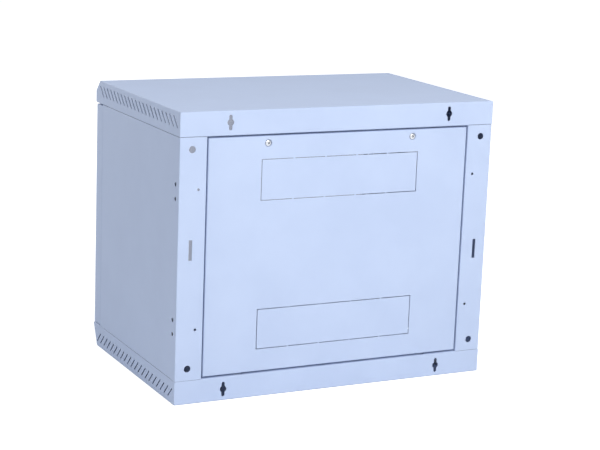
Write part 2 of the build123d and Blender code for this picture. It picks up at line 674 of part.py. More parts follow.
def earth_stud():
    return rod_z(EARTH_RADIUS, SHEET, SHEET + EARTH_HEIGHT, EARTH_X, EARTH_Y, small_round)


def earth_nut():
    face = Pos(EARTH_X, EARTH_Y) * nut_face(EARTH_NUT, EARTH_RADIUS + FIT, small_round)
    return along_z(face, SHEET, SHEET + EARTH_NUT_HEIGHT)


os.makedirs("parts", exist_ok=True)

save("top_cover", top_cover())
save("bottom_tray", bottom_tray())
right_side = side_panel()
save("side_panel_right", right_side)
save("side_panel_left", turned_over(right_side))
save("rear_panel", rear_panel())
save("rear_panel_screws", *rear_panel_screws())

right_rail = mounting_rail()
save("mounting_rail_right", right_rail)
save("mounting_rail_left", mirror(right_rail, Plane.YZ))

upper_right_depth_rail = depth_rail()
lower_right_depth_rail = mirror(upper_right_depth_rail, Plane.XY.offset(MID))
save("depth_rail_upper_right", upper_right_depth_rail)
save("depth_rail_upper_left", mirror(upper_right_depth_rail, Plane.YZ))
save("depth_rail_lower_right", lower_right_depth_rail)
save("depth_rail_lower_left", mirror(lower_right_depth_rail, Plane.YZ))
save("rail_bolts", *rail_bolts())
save("rail_nuts", *rail_nuts())

save("door_frame", door_frame())
save("glass_tape", glass_tape())
save("door_glass", door_glass())
save("hinge_pivot_lower", hinge_pivot_lower())
save("hinge_bracket", hinge_bracket())
save("hinge_pin_upper", hinge_pin_upper())
save("hinge_spring", hinge_spring())
save("lock_body", lock_body())
save("lock_nut", lock_nut())
save("lock_plug", lock_plug())
save("lock_cam", lock_cam())
save("lock_cam_nut", lock_cam_nut())
save("door_bumpers", *door_bumpers())
save("earth_stud", earth_stud())
save("earth_nut", earth_nut())
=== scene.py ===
# %% [markdown]
# # A wall cabinet for network equipment
#
# The cabinet is folded from thin sheet steel: a top cover, a bottom tray and two side panels make the shell,
# a removable panel closes the rear, and a framed glass door closes the front. Its solids come ready made
# from the CAD model, at their real size. This lesson gives them their finishes, adds the small turned and
# threaded pieces that the solids only hint at, and takes their portrait from behind, where the wall would be.
#
# The first cell loads the solids. Each one arrives as an object in metres that stands in its true place,
# and it stays there: nothing below moves it or bends it.

import json
import math

import bmesh
import bpy
from mathutils import Matrix, Vector


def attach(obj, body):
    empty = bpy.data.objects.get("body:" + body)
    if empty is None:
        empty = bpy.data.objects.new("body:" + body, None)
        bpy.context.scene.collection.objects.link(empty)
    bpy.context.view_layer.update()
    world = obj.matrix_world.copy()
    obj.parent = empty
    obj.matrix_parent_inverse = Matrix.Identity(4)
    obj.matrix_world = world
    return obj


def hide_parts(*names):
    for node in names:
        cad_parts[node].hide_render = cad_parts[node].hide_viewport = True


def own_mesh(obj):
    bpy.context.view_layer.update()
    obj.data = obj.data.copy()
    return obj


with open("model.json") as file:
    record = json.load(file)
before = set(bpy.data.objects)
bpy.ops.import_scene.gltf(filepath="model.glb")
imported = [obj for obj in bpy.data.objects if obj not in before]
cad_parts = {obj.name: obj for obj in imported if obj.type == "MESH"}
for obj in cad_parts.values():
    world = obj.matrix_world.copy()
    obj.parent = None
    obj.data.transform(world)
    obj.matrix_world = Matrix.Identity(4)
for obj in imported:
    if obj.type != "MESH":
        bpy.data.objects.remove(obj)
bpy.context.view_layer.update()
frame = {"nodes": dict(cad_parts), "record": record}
MM = 0.001

# %% [markdown]
# ## The camera
#
# The photograph looks at the rear from a little above, past the corner of the right side. Where the camera
# stood was worked out from the outline and the holes of the cabinet in the picture. It could be set by hand
# until the outlines match, but three angles, a place and a lens are easier to read and to repeat.
#
# The azimuth turns from the front of the cabinet towards its right side, the elevation lifts the camera
# above the level, and the roll is the slight tilt that the photographer left in.

# %% Stand the camera where the photographer stood
AZIMUTH = math.radians(153.198)
ELEVATION = math.radians(12.380)
ROLL = math.radians(2.197)
CAMERA_PLACE = Vector((1.3744, 2.7720, 0.9307))
LENS = 103.75
SENSOR = 36.0

level = Vector((math.cos(AZIMUTH), math.sin(AZIMUTH), 0))
back = Vector((
    math.sin(AZIMUTH) * math.cos(ELEVATION),
    -math.cos(AZIMUTH) * math.cos(ELEVATION),
    math.sin(ELEVATION),
))
across = level * math.cos(ROLL) + back.cross(level) * math.sin(ROLL)
upward = back.cross(across)

camera_data = bpy.data.cameras.new("portrait_camera")
camera_data.lens = LENS
camera_data.sensor_width = SENSOR
camera_data.sensor_fit = "HORIZONTAL"
camera_data.clip_end = 60
camera = bpy.data.objects.new("portrait_camera", camera_data)
camera.matrix_world = Matrix.Translation(CAMERA_PLACE) @ Matrix((across, upward, back)).transposed().to_4x4()
bpy.context.scene.collection.objects.link(camera)
bpy.context.scene.camera = camera
print("camera at", tuple(round(v, 3) for v in CAMERA_PLACE), "with a", LENS, "mm lens")

# %% [markdown]
# ## The studio
#
# Product photographs of painted metal are taken in a bright, even room, so that the colour reads as it is.
# The room here is the world itself: a plain grey with a touch of blue that reaches the cabinet from all
# sides. What the camera sees behind the cabinet is a different matter. The Light Path node tells camera
# rays, mirror rays and rays that pass through glass from the rays that carry light, and the first three see
# a clean white. A ray that has already bounced off a dull surface carries light, whatever it passes later,
# so the diffuse depth has to be zero too. Without that the white room would shine in through the glass door.

# %% Light the room evenly and show it white
ROOM_LEVEL = 0.44
ROOM_TINT = (0.94, 0.975, 1.05)

scene = bpy.context.scene
scene.view_settings.view_transform = "Standard"
room = bpy.data.worlds.new("even_room")
room.use_nodes = True
scene.world = room


def white_to_eyes(tree):
    """1 for rays that show a thing to the camera, in a mirror or through glass, and 0 for rays of light."""
    path = tree.nodes.new("ShaderNodeLightPath")
    total = path.outputs["Is Camera Ray"]
    for kind in ("Is Glossy Ray", "Is Transmission Ray"):
        larger = tree.nodes.new("ShaderNodeMath")
        larger.operation = "MAXIMUM"
        tree.links.new(total, larger.inputs[0])
        tree.links.new(path.outputs[kind], larger.inputs[1])
        total = larger.outputs[0]
    unbounced = tree.nodes.new("ShaderNodeMath")
    unbounced.operation = "LESS_THAN"
    unbounced.inputs[1].default_value = 0.5
    tree.links.new(path.outputs["Diffuse Depth"], unbounced.inputs[0])
    both = tree.nodes.new("ShaderNodeMath")
    both.operation = "MULTIPLY"
    tree.links.new(total, both.inputs[0])
    tree.links.new(unbounced.outputs[0], both.inputs[1])
    return both.outputs[0]


tree = room.node_tree
even = tree.nodes["Background"]
even.inputs["Color"].default_value = (*ROOM_TINT, 1)
even.inputs["Strength"].default_value = ROOM_LEVEL
white = tree.nodes.new("ShaderNodeBackground")
white.inputs["Color"].default_value = (1, 1, 1, 1)
white.inputs["Strength"].default_value = 1.0
chooser = tree.nodes.new("ShaderNodeMixShader")
tree.links.new(white_to_eyes(tree), chooser.inputs["Fac"])
tree.links.new(even.outputs[0], chooser.inputs[1])
tree.links.new(white.outputs[0], chooser.inputs[2])
tree.links.new(chooser.outputs[0], tree.nodes["World Output"].inputs["Surface"])
print("room level", ROOM_LEVEL)

# %% [markdown]
# ## The floor
#
# The cabinet stands on a large pale sheet. A white that is only painted on would still come out light grey,
# because no sheet returns all the light that it gets. A little glow for the eye alone lifts it to white, and
# since the glow doesn't reach the cabinet, the soft shadow at its foot stays.

# %% Lay the floor
FLOOR_HALF = 14.0
FLOOR_COLOUR = (0.88, 0.88, 0.88)
FLOOR_GLOW = 0.66

floor_mesh = bpy.data.meshes.new("studio_floor")
corners = [(FLOOR_HALF * x, FLOOR_HALF * y, 0) for x, y in ((-1, -1), (1, -1), (1, 1), (-1, 1))]
floor_mesh.from_pydata(corners, [], [(0, 1, 2, 3)])
floor = bpy.data.objects.new("studio_floor", floor_mesh)
scene.collection.objects.link(floor)

floor_finish = bpy.data.materials.new("studio_sheet")
floor_finish.use_nodes = True
tree = floor_finish.node_tree
tree.nodes.remove(tree.nodes["Principled BSDF"])
matt = tree.nodes.new("ShaderNodeBsdfDiffuse")
matt.inputs["Color"].default_value = (*FLOOR_COLOUR, 1)
glow = tree.nodes.new("ShaderNodeEmission")
strength = tree.nodes.new("ShaderNodeMath")
strength.operation = "MULTIPLY"
strength.inputs[1].default_value = FLOOR_GLOW
tree.links.new(white_to_eyes(tree), strength.inputs[0])
tree.links.new(strength.outputs[0], glow.inputs["Strength"])
lifted = tree.nodes.new("ShaderNodeAddShader")
tree.links.new(matt.outputs[0], lifted.inputs[0])
tree.links.new(glow.outputs[0], lifted.inputs[1])
tree.links.new(lifted.outputs[0], tree.nodes["Material Output"].inputs["Surface"])
floor_mesh.materials.append(floor_finish)
print("floor", 2 * FLOOR_HALF, "m wide")

# %% [markdown]
# ## The lamps
#
# In the photograph the rear face is the brightest, and brighter at its top than at its foot. The top comes
# next and the right side is the darkest. So the main lamp hangs close to the rear, a little above it, and a
# weak one hangs overhead. One more stands in front of the door, where the portrait doesn't look, so that the
# other views are lit too. Large square lamps give the soft edges of a studio. A small lamp would draw hard
# shadows in the slots.

# %% Hang the lamps
LAMPS = {
    "rear_lamp": {"place": (-0.05, 2.1, 1.5), "power": 36.0, "side": 1.3},
    "top_lamp": {"place": (0.0, 0.5, 3.0), "power": 8.0, "side": 1.2},
    "front_lamp": {"place": (1.3, -4.0, 1.3), "power": 60.0, "side": 2.0},
}
AIM = Vector((0, 0, 0.25))

for name, lamp in LAMPS.items():
    light = bpy.data.lights.new(name, "AREA")
    light.shape = "SQUARE"
    light.size = lamp["side"]
    light.energy = lamp["power"]
    holder = bpy.data.objects.new(name, light)
    holder.location = lamp["place"]
    holder.rotation_euler = (AIM - holder.location).to_track_quat("-Z", "Y").to_euler()
    scene.collection.objects.link(holder)
print("lamps:", ", ".join(LAMPS))

# %% [markdown]
# ## Tools for the finishes
#
# Each finish starts from one Principled shader. Its plain values describe the finish on average, and a few
# nodes add what the eye expects up close. Patterns are placed by object coordinates, which are metres
# here, so a pattern's size can be given in millimetres and holds on every piece. The sizes, radii and
# depths that the finishes name below are all in millimetres.

# %% Write the helpers that every finish shares
def new_finish(name, colour, metallic, roughness):
    """A material with one Principled shader set to the given averages, and that shader's tree."""
    finish = bpy.data.materials.new(name)
    finish.use_nodes = True
    finish.diffuse_color = (*colour, 1)
    shader = finish.node_tree.nodes["Principled BSDF"]
    shader.inputs["Base Color"].default_value = (*colour, 1)
    shader.inputs["Metallic"].default_value = metallic
    shader.inputs["Roughness"].default_value = roughness
    return finish, finish.node_tree, shader


def mottle(tree, size_mm, detail=2.0, stretch=(1, 1, 1)):
    """Cloudy noise whose clouds are about as large as the given size."""
    coordinates = tree.nodes.new("ShaderNodeTexCoord")
    mapping = tree.nodes.new("ShaderNodeMapping")
    mapping.inputs["Scale"].default_value = stretch
    noise = tree.nodes.new("ShaderNodeTexNoise")
    noise.inputs["Scale"].default_value = 1 / (size_mm * MM)
    noise.inputs["Detail"].default_value = detail
    tree.links.new(coordinates.outputs["Object"], mapping.inputs["Vector"])
    tree.links.new(mapping.outputs[0], noise.inputs["Vector"])
    return noise.outputs["Fac"]


def spread(tree, value, start, end, low, high):
    """Turn the range from start to end of a value into the range from low to high."""
    ranger = tree.nodes.new("ShaderNodeMapRange")
    ranger.inputs["From Min"].default_value = start
    ranger.inputs["From Max"].default_value = end
    ranger.inputs["To Min"].default_value = low
    ranger.inputs["To Max"].default_value = high
    tree.links.new(value, ranger.inputs["Value"])
    return ranger.outputs["Result"]


def between_colours(tree, share, first, second):
    """The first colour where the share is 0 and the second where it is 1. Either may be a socket."""
    mix = tree.nodes.new("ShaderNodeMix")
    mix.data_type = "RGBA"
    tree.links.new(share, mix.inputs["Factor"])
    for colour, socket in ((first, mix.inputs["A"]), (second, mix.inputs["B"])):
        if isinstance(colour, tuple):
            socket.default_value = (*colour, 1)
        else:
            tree.links.new(colour, socket)
    return mix.outputs["Result"]


def relief(tree, height, depth_mm, under=None):
    """Bump the surface by a height pattern of the given depth, on top of another normal if there is one."""
    bump = tree.nodes.new("ShaderNodeBump")
    bump.inputs["Strength"].default_value = 1.0
    bump.inputs["Distance"].default_value = depth_mm * MM
    tree.links.new(height, bump.inputs["Height"])
    if under is not None:
        tree.links.new(under, bump.inputs["Normal"])
    return bump.outputs["Normal"]


EDGE_STARTS = 0.99  # how alike the plain and the rounded normal are where an edge begins
EDGE_FULL = 0.86


def soft_edges(tree, radius_mm):
    """The normal with its edges rounded over the radius."""
    rounder = tree.nodes.new("ShaderNodeBevel")
    rounder.samples = 4
    rounder.inputs["Radius"].default_value = radius_mm * MM
    return rounder.outputs["Normal"]


def edge_share(tree, edge_normal):
    """1 on edges and 0 elsewhere: an edge is where the rounded normal leaves the plain one."""
    geometry = tree.nodes.new("ShaderNodeNewGeometry")
    likeness = tree.nodes.new("ShaderNodeVectorMath")
    likeness.operation = "DOT_PRODUCT"
    tree.links.new(edge_normal, likeness.inputs[0])
    tree.links.new(geometry.outputs["Normal"], likeness.inputs[1])
    return spread(tree, likeness.outputs["Value"], EDGE_STARTS, EDGE_FULL, 0, 1)


def openness(tree, reach_mm):
    """1 where the surface lies open, and less in gaps and grooves that are narrower than the reach."""
    shelter = tree.nodes.new("ShaderNodeAmbientOcclusion")
    shelter.samples = 8
    shelter.inputs["Distance"].default_value = reach_mm * MM
    return shelter.outputs["AO"]


print("helpers ready")

# %% [markdown]
# ## Powder coat
#
# The shell is powder coated: dry paint is charged, clings to the steel and melts in an oven into a tough
# satin skin. It has a faint orange peel about a millimetre across, and its sharp edges are painted lighter,
# a painted highlight. Its colour is a pale grey with a clear touch of blue.
#
# The peel could be modelled, but at a few hundredths of a millimetre bump mapping does it for free. The
# Bevel node rounds the edges for the light alone, and its normal tells where they are, so that a painted
# highlight can lighten them. The Ambient Occlusion node darkens the paint in grooves and gaps: painted
# shade, laid over the shade that the light already casts there.

# %% Mix the powder coat
COAT_COLOUR = (0.515, 0.603, 0.790)
# The edge colour is a painted highlight along the sharp edges.
COAT_PAINTED_HIGHLIGHT = (0.60, 0.69, 0.86)
COAT_SHADE = (0.490, 0.577, 0.765)
# The gap colour below is painted shade: it darkens the paint in grooves and gaps, as far as a facing wall
# reaches.
COAT_PAINTED_SHADE = (0.15, 0.18, 0.27)
SHADE_REACH = 1.3  # how far away a facing wall still darkens the paint
COAT_EDGE_RADIUS = 0.45
COAT_SHINE = 0.18
CLOUD = 90
PEEL, PEEL_DEPTH = 1.3, 0.035
GRAIN, GRAIN_DEPTH = 0.5, 0.008

powder_coat, tree, shader = new_finish("powder_coat_pale_blue", COAT_COLOUR, 0.0, 0.54)
edge_normal = soft_edges(tree, COAT_EDGE_RADIUS)
clouds = mottle(tree, CLOUD, 3.0)
shaded = between_colours(tree, spread(tree, clouds, 0.35, 0.65, 0, 1), COAT_SHADE, COAT_COLOUR)
# Painted highlight: the edges take a lighter colour.
highlighted_coat = between_colours(tree, edge_share(tree, edge_normal), shaded, COAT_PAINTED_HIGHLIGHT)
# Painted shade: the Ambient Occlusion node darkens the coat in grooves and gaps.
unshaded_share = spread(tree, openness(tree, SHADE_REACH), 0.35, 0.9, 0, 1)
tree.links.new(between_colours(tree, unshaded_share, COAT_PAINTED_SHADE, highlighted_coat), shader.inputs["Base Color"])
grain = mottle(tree, GRAIN, 1.0)
peel = mottle(tree, PEEL, 2.0)
tree.links.new(spread(tree, clouds, 0.3, 0.7, 0.50, 0.58), shader.inputs["Roughness"])
peel_normal = relief(tree, peel, PEEL_DEPTH, edge_normal)
tree.links.new(relief(tree, grain, GRAIN_DEPTH, peel_normal), shader.inputs["Normal"])
shader.inputs["Specular IOR Level"].default_value = COAT_SHINE
print("powder coat", COAT_COLOUR)

# %% [markdown]
# ## Galvanised sheet
#
# The rails inside are zinc dipped. As the zinc cools it grows crystals, the spangle, and each crystal turns
# the light its own way. A Voronoi texture is made of such cells, so its random cell colour drives both the
# brightness and the gloss. Fine scratches from the rollers run along the height.

# %% Grow the zinc crystals
ZINC_LIGHT = (0.70, 0.71, 0.72)
ZINC_DARK = (0.56, 0.57, 0.59)
SPANGLE = 7.0
ZINC_EDGE_RADIUS = 0.35
SCRATCH, SCRATCH_DEPTH = 0.7, 0.004
ALONG_Z = (1, 1, 0.04)  # draws a pattern out along the height

zinc_sheet, tree, shader = new_finish("galvanised_sheet", (0.63, 0.64, 0.66), 1.0, 0.36)
coordinates = tree.nodes.new("ShaderNodeTexCoord")
crystals = tree.nodes.new("ShaderNodeTexVoronoi")
crystals.inputs["Scale"].default_value = 1 / (SPANGLE * MM)
tree.links.new(coordinates.outputs["Object"], crystals.inputs["Vector"])
facet = tree.nodes.new("ShaderNodeSeparateColor")
tree.links.new(crystals.outputs["Color"], facet.inputs[0])
edge_normal = soft_edges(tree, ZINC_EDGE_RADIUS)
tree.links.new(between_colours(tree, facet.outputs[0], ZINC_DARK, ZINC_LIGHT), shader.inputs["Base Color"])
tree.links.new(spread(tree, facet.outputs[1], 0, 1, 0.28, 0.46), shader.inputs["Roughness"])
rolled = mottle(tree, SCRATCH, 2.0, ALONG_Z)
tree.links.new(relief(tree, rolled, SCRATCH_DEPTH, edge_normal), shader.inputs["Normal"])
print("spangle", SPANGLE, "mm")

# %% [markdown]
# ## Bright zinc, spring wire and lock chrome
#
# Screws, nuts and pins are plated with bright zinc, which looks like silver with a hint of blue and is
# never quite even, and painted shade darkens it in recesses and between threads. The spring is drawn wire,
# darker and finely ribbed along its length. The lock is chromed: nearly a mirror, with the faint haze that
# fingers leave.

# %% Plate the small metal pieces
# The recess colour is painted shade, laid into the recesses and narrow gaps of the small pieces.
ZINC_PAINTED_SHADE = (0.10, 0.11, 0.13)
ZINC_SHADE_REACH = 1.6
PATCH = 2.5
PLATE_GRAIN, PLATE_GRAIN_DEPTH = 0.4, 0.004
PLATE_EDGE_RADIUS = 0.2
STREAK = 0.3
HAZE = 6.0
LOCK_EDGE_RADIUS = 0.15

bright_zinc, tree, shader = new_finish("bright_zinc_plate", (0.58, 0.60, 0.63), 1.0, 0.27)
patches = mottle(tree, PATCH, 3.0)
plated = between_colours(tree, patches, (0.52, 0.55, 0.60), (0.66, 0.66, 0.66))
# Painted shade: the Ambient Occlusion node darkens the plate in recesses and between threads.
unshaded_share = spread(tree, openness(tree, ZINC_SHADE_REACH), 0.45, 0.95, 0, 1)
tree.links.new(between_colours(tree, unshaded_share, ZINC_PAINTED_SHADE, plated), shader.inputs["Base Color"])
tree.links.new(spread(tree, patches, 0.3, 0.7, 0.2, 0.36), shader.inputs["Roughness"])
plate_grain = mottle(tree, PLATE_GRAIN, 2.0)
edge_normal = soft_edges(tree, PLATE_EDGE_RADIUS)
tree.links.new(relief(tree, plate_grain, PLATE_GRAIN_DEPTH, edge_normal), shader.inputs["Normal"])

spring_wire, tree, shader = new_finish("drawn_spring_wire", (0.42, 0.42, 0.43), 1.0, 0.34)
streaks = mottle(tree, STREAK, 2.0, (1, 1, 0.2))
drawn = between_colours(tree, streaks, (0.34, 0.34, 0.35), (0.50, 0.50, 0.51))
tree.links.new(drawn, shader.inputs["Base Color"])
tree.links.new(spread(tree, streaks, 0.3, 0.7, 0.28, 0.42), shader.inputs["Roughness"])

lock_chrome, tree, shader = new_finish("lock_chrome", (0.78, 0.78, 0.79), 1.0, 0.12)
haze = mottle(tree, HAZE, 4.0)
tree.links.new(spread(tree, haze, 0.4, 0.7, 0.07, 0.22), shader.inputs["Roughness"])
hazed = between_colours(tree, haze, (0.76, 0.77, 0.79), (0.80, 0.80, 0.80))
tree.links.new(hazed, shader.inputs["Base Color"])
tree.links.new(soft_edges(tree, LOCK_EDGE_RADIUS), shader.inputs["Normal"])
print("plated finishes: zinc, wire, chrome")

# %% [markdown]
# ## Glass
#
# The door carries a pane of grey tinted glass, which lets about a third of the light through. Its tint shows
# in the portrait too: the slot and the keyhole on the left look through the cabinet and through the pane at
# the white room behind, and see it as a middle grey.
#
# A path tracer rarely finds a lamp through a refracting pane. So rays that look for lamps take a plain
# Transparent shader instead. Light crosses both faces of the pane, so its colour there is the square root.

# %% Cast the glass
PANE_TINT = (0.285, 0.305, 0.365)
GLASS_BENDS = 1.5  # its index of refraction
WIPE = 60.0

door_pane, tree, shader = new_finish("tinted_glass", PANE_TINT, 0.0, 0.02)
shader.inputs["Transmission Weight"].default_value = 1.0
shader.inputs["IOR"].default_value = GLASS_BENDS
wiped = mottle(tree, WIPE, 4.0, (1, 1, 2.5))
tree.links.new(spread(tree, wiped, 0.45, 0.75, 0.0, 0.05), shader.inputs["Roughness"])
clear = tree.nodes.new("ShaderNodeBsdfTransparent")
clear.inputs["Color"].default_value = (*(math.sqrt(share) for share in PANE_TINT), 1)
path = tree.nodes.new("ShaderNodeLightPath")
pane = tree.nodes.new("ShaderNodeMixShader")
tree.links.new(path.outputs["Is Shadow Ray"], pane.inputs["Fac"])
tree.links.new(shader.outputs[0], pane.inputs[1])
tree.links.new(clear.outputs[0], pane.inputs[2])
tree.links.new(pane.outputs[0], tree.nodes["Material Output"].inputs["Surface"])
print("glass ready")

# %% [markdown]
# ## Foam tape and rubber
#
# The pane is held by black foam tape, and two rubber pads keep the door from ringing against the jamb.
# Both are dull. The foam shows open pores, the rubber only a fine skin.

# %% Mix the black pieces
PORE, PORE_DEPTH = 0.35, 0.08
SKIN, SKIN_DEPTH = 0.6, 0.02

foam_tape, tree, shader = new_finish("foam_tape_black", (0.022, 0.022, 0.023), 0.0, 0.9)
pores = mottle(tree, PORE, 3.0)
porous = between_colours(tree, pores, (0.012, 0.012, 0.013), (0.034, 0.034, 0.035))
tree.links.new(porous, shader.inputs["Base Color"])
tree.links.new(relief(tree, pores, PORE_DEPTH), shader.inputs["Normal"])

rubber, tree, shader = new_finish("pad_rubber", (0.030, 0.030, 0.031), 0.0, 0.68)
skin = mottle(tree, SKIN, 3.0)
tree.links.new(spread(tree, skin, 0.3, 0.7, 0.6, 0.78), shader.inputs["Roughness"])
tree.links.new(relief(tree, skin, SKIN_DEPTH), shader.inputs["Normal"])
print("black finishes: foam, rubber")

# %% [markdown]
# ## Give every solid its finish
#
# The record that comes with the solids says which finish each one has. That list is all it takes: each
# solid gets the new material in place of the plain one that it arrived with.

# %% Dress the solids
FINISHES = {
    "powder_coat": powder_coat,
    "zinc_sheet": zinc_sheet,
    "bright_zinc": bright_zinc,
    "spring_steel": spring_wire,
    "lock_metal": lock_chrome,
    "glass": door_pane,
    "tape": foam_tape,
    "rubber": rubber,
}
for part in frame["record"]["subparts"]:
    mesh = frame["nodes"][part["node"]].data
    mesh.materials.clear()
    mesh.materials.append(FINISHES[part["material_slot"]])

# %% [markdown]
# ## Tools for the turned pieces
#
# Screws, nuts and pins are round, and their solids have few sides. Each is made again here as a real turned
# piece. One helper wraps a grid round an axis and asks, at every height and angle, how far out the surface
# lies. With that question a thread is a wave that climbs as it turns, and a hexagon head is the smaller of a
# hexagon and a cone. Another helper sweeps a round wire along a line of points.

# %% Write the helpers for round pieces
SHARP_FROM = math.radians(32)


def finished_piece(name, mesh, finish_name, body, nodes):
    """Link a mesh as a piece that rides on a body and stands for the given solids."""
    mesh.materials.clear()
    mesh.materials.append(FINISHES[finish_name])
    mesh.shade_smooth()
    mesh.set_sharp_from_angle(angle=SHARP_FROM)
    piece = bpy.data.objects.new(name, mesh)
    scene.collection.objects.link(piece)
    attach(piece, body)
    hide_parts(*nodes)
    print(name, "has", len(mesh.polygons), "faces")
    return piece


def wrapped(name, heights, radius_at, sides=48):
    """A closed round body along Z in millimetres. radius_at(height, angle) gives the surface."""
    points, faces = [], []
    for height in heights:
        for step in range(sides):
            angle = 2 * math.pi * step / sides
            radius = radius_at(height, angle)
            points.append((radius * math.cos(angle) * MM, radius * math.sin(angle) * MM, height * MM))
    for row in range(len(heights) - 1):
        low, high = row * sides, (row + 1) * sides
        for step in range(sides):
            after = (step + 1) % sides
            faces.append((low + step, low + after, high + after, high + step))
    faces.append(tuple(reversed(range(sides))))
    faces.append(tuple(range((len(heights) - 1) * sides, len(heights) * sides)))
    mesh = bpy.data.meshes.new(name)
    mesh.from_pydata(points, [], faces)
    return mesh


def turned(name, profile, sides=64):
    """Spin a closed outline of (radius, height) points in millimetres round Z."""
    shape = bmesh.new()
    rim = [shape.verts.new((radius * MM, 0, height * MM)) for radius, height in profile]
    for first, second in zip(rim, rim[1:] + rim[:1]):
        shape.edges.new((first, second))
    bmesh.ops.spin(
        shape, geom=list(shape.verts) + list(shape.edges), axis=(0, 0, 1), cent=(0, 0, 0),
        angle=2 * math.pi, steps=sides, use_merge=True,
    )
    bmesh.ops.remove_doubles(shape, verts=shape.verts, dist=0.0005 * MM)
    bmesh.ops.recalc_face_normals(shape, faces=shape.faces)
    mesh = bpy.data.meshes.new(name)
    shape.to_mesh(mesh)
    shape.free()
    return mesh


def stood(mesh, place_mm, towards):
    """Turn a mesh made along Z to face a direction, and put its origin at a place."""
    turn = Vector(towards).to_track_quat("Z", "Y").to_matrix().to_4x4()
    mesh.transform(Matrix.Translation(Vector(place_mm) * MM) @ turn)
    return mesh


def joined(name, meshes):
    """One mesh from several."""
    shape = bmesh.new()
    for mesh in meshes:
        shape.from_mesh(mesh)
        bpy.data.meshes.remove(mesh)
    whole = bpy.data.meshes.new(name)
    shape.to_mesh(whole)
    shape.free()
    return whole


def wire(name, points_mm, radii_mm, sides=8):
    """Sweep a round section along points. Each point has its own radius."""
    line = bpy.data.curves.new(name, "CURVE")
    line.dimensions = "3D"
    line.bevel_depth = 1.0
    line.bevel_resolution = sides
    line.use_fill_caps = True
    spline = line.splines.new("POLY")
    spline.points.add(len(points_mm) - 1)
    for knot, place, radius in zip(spline.points, points_mm, radii_mm):
        knot.co = (*(Vector(place) * MM), 1)
        knot.radius = radius * MM
    holder = bpy.data.objects.new(name, line)
    mesh = bpy.data.meshes.new_from_object(holder)
    bpy.data.objects.remove(holder)
    bpy.data.curves.remove(line)
    return mesh


def hexagon_reach(across_flats, angle):
    """How far a hexagon reaches from its middle at an angle."""
    return across_flats / 2 / math.cos((angle + math.pi / 6) % (math.pi / 3) - math.pi / 6)


def steps_between(low, high, count):
    """Evenly spaced values from low to high, both included."""
    return [low + (high - low) * step / count for step in range(count + 1)]


print("turning tools ready")

# %% [markdown]
# ## Screws of the rear panel
#
# Two pan head screws hold the top of the rear panel. Each sits in a dish that is pressed into the sheet, so
# that its head doesn't touch the wall. The dome is turned and the cross recess is cut out with a boolean,
# the way a punch forms it: two tapered blades that meet at the axis.

# %% Turn the rear screws and punch their recess
REAR_SCREW_AT = ((-139, 442.3), (139, 442.3))
REAR_SCREW_SEAT = 197.4
HEAD_RADIUS = 5.2
HEAD_HEIGHT = 1.6
SHANK_RADIUS = 1.95
SHANK_END = -11.8
BLADE_TOP = (5.6, 1.7)  # length and width of a blade of the recess, at its top and at its foot
BLADE_FOOT = (3.4, 1.2)
BLADE_RISE = (0.1, 2.2)

head_profile = [
    (0, SHANK_END), (1.4, SHANK_END), (SHANK_RADIUS, SHANK_END + 0.6), (SHANK_RADIUS, 0),
    (HEAD_RADIUS - 0.1, 0), (HEAD_RADIUS, 0.12), (HEAD_RADIUS, 0.4), (4.95, 0.72), (4.4, 1.02),
    (3.6, 1.28), (2.7, 1.45), (1.5, 1.57), (0, HEAD_HEIGHT),
]


def cross_cutter():
    """Two blades, wide at the top and narrow at the foot of the recess."""
    shape = bmesh.new()
    for turn in (0, math.pi / 2):
        block = bmesh.ops.create_cube(shape, size=1.0)["verts"]
        for corner in block:
            deep = corner.co.z < 0
            length, width = BLADE_FOOT if deep else BLADE_TOP
            corner.co.x *= length * MM
            corner.co.y *= width * MM
            corner.co.z = BLADE_RISE[0 if deep else 1] * MM
        bmesh.ops.rotate(shape, verts=block, cent=(0, 0, 0), matrix=Matrix.Rotation(turn, 3, "Z"))
    mesh = bpy.data.meshes.new("cross_cutter")
    shape.to_mesh(mesh)
    shape.free()
    return mesh


def punched(mesh, cutter_mesh):
    """The mesh with the cutter taken out of it."""
    body = bpy.data.objects.new("blank", mesh)
    cutter = bpy.data.objects.new("punch", cutter_mesh)
    scene.collection.objects.link(body)
    scene.collection.objects.link(cutter)
    cut = body.modifiers.new("recess", "BOOLEAN")
    cut.operation = "DIFFERENCE"
    cut.solver = "EXACT"
    cut.use_self = True
    cut.object = cutter
    bpy.context.view_layer.update()
    made = bpy.data.meshes.new_from_object(body.evaluated_get(bpy.context.evaluated_depsgraph_get()))
    bpy.data.objects.remove(body)
    bpy.data.objects.remove(cutter)
    return made


screws = []
for index, (x, z) in enumerate(REAR_SCREW_AT):
    screw = punched(turned("rear_screw_blank", head_profile, 48), cross_cutter())
    screw.transform(Matrix.Rotation(math.radians(20 + 35 * index), 4, "Z"))
    screws.append(stood(screw, (x, REAR_SCREW_SEAT, z), (0, 1, 0)))
finished_piece(
    "rear_screws_crosshead", joined("rear_screws", screws), "bright_zinc", "cabinet", ["rear_panel_screws"],
)

# %% [markdown]
# ## Spring and pin of the upper hinge
#
# The door lifts off: a sprung pin holds it at the top, and a finger on the bent handle pulls the pin down.
# The spring is one long helix whose end turns lie flat against their seats, so its pitch is small at both
# ends and wide between. It shortens when the pin is pulled. The pin is one rod, bent at its foot.

# %% Wind the spring and bend the pin
HINGE_X = -291.0
HINGE_Y = -190.5
SPRING_LOW = 399.0
SPRING_HIGH = 427.0
SPRING_RADIUS = 4.0
WIRE_RADIUS = 0.45
COILS = 7
STEPS = 28

